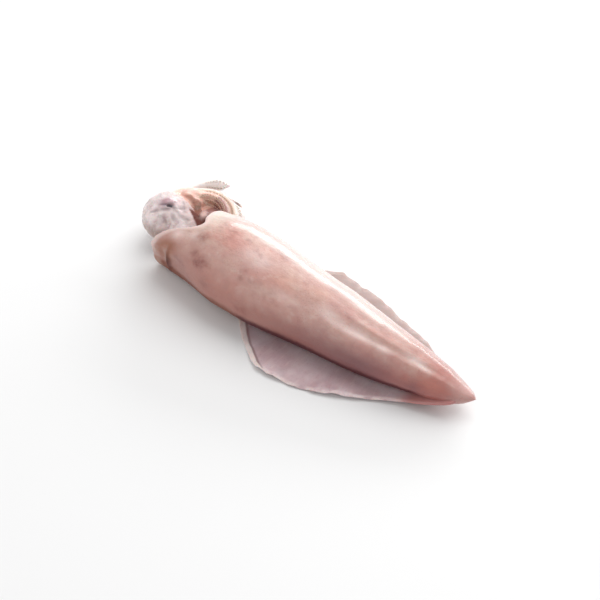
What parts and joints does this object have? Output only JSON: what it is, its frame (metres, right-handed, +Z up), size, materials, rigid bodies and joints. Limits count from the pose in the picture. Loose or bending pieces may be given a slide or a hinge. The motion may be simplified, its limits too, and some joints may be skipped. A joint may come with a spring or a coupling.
{
  "type": "fresh squid",
  "caption": "Whole fresh squid lying belly up: a tapered mantle with broad thin fins, a rounded head with a short funnel, and arms and tentacles curled to one side.",
  "frame": {"origin": "on the surface that the squid lies on, under the mantle's axis and halfway along its 250 mm measure, which ends 4 mm inside the tail tip", "axes": "+X along the mantle to the tail tip, +Y to the side that the arms curl to, +Z up, towards the belly"},
  "size_m": [0.3144, 0.1441, 0.053],
  "materials": {
    "squid_skin": "wet, glossy, pinkish beige skin that stands for soft flesh"
  },
  "bodies": {
    "root": {"squid": "squid_skin"}
  },
  "joints": []
}
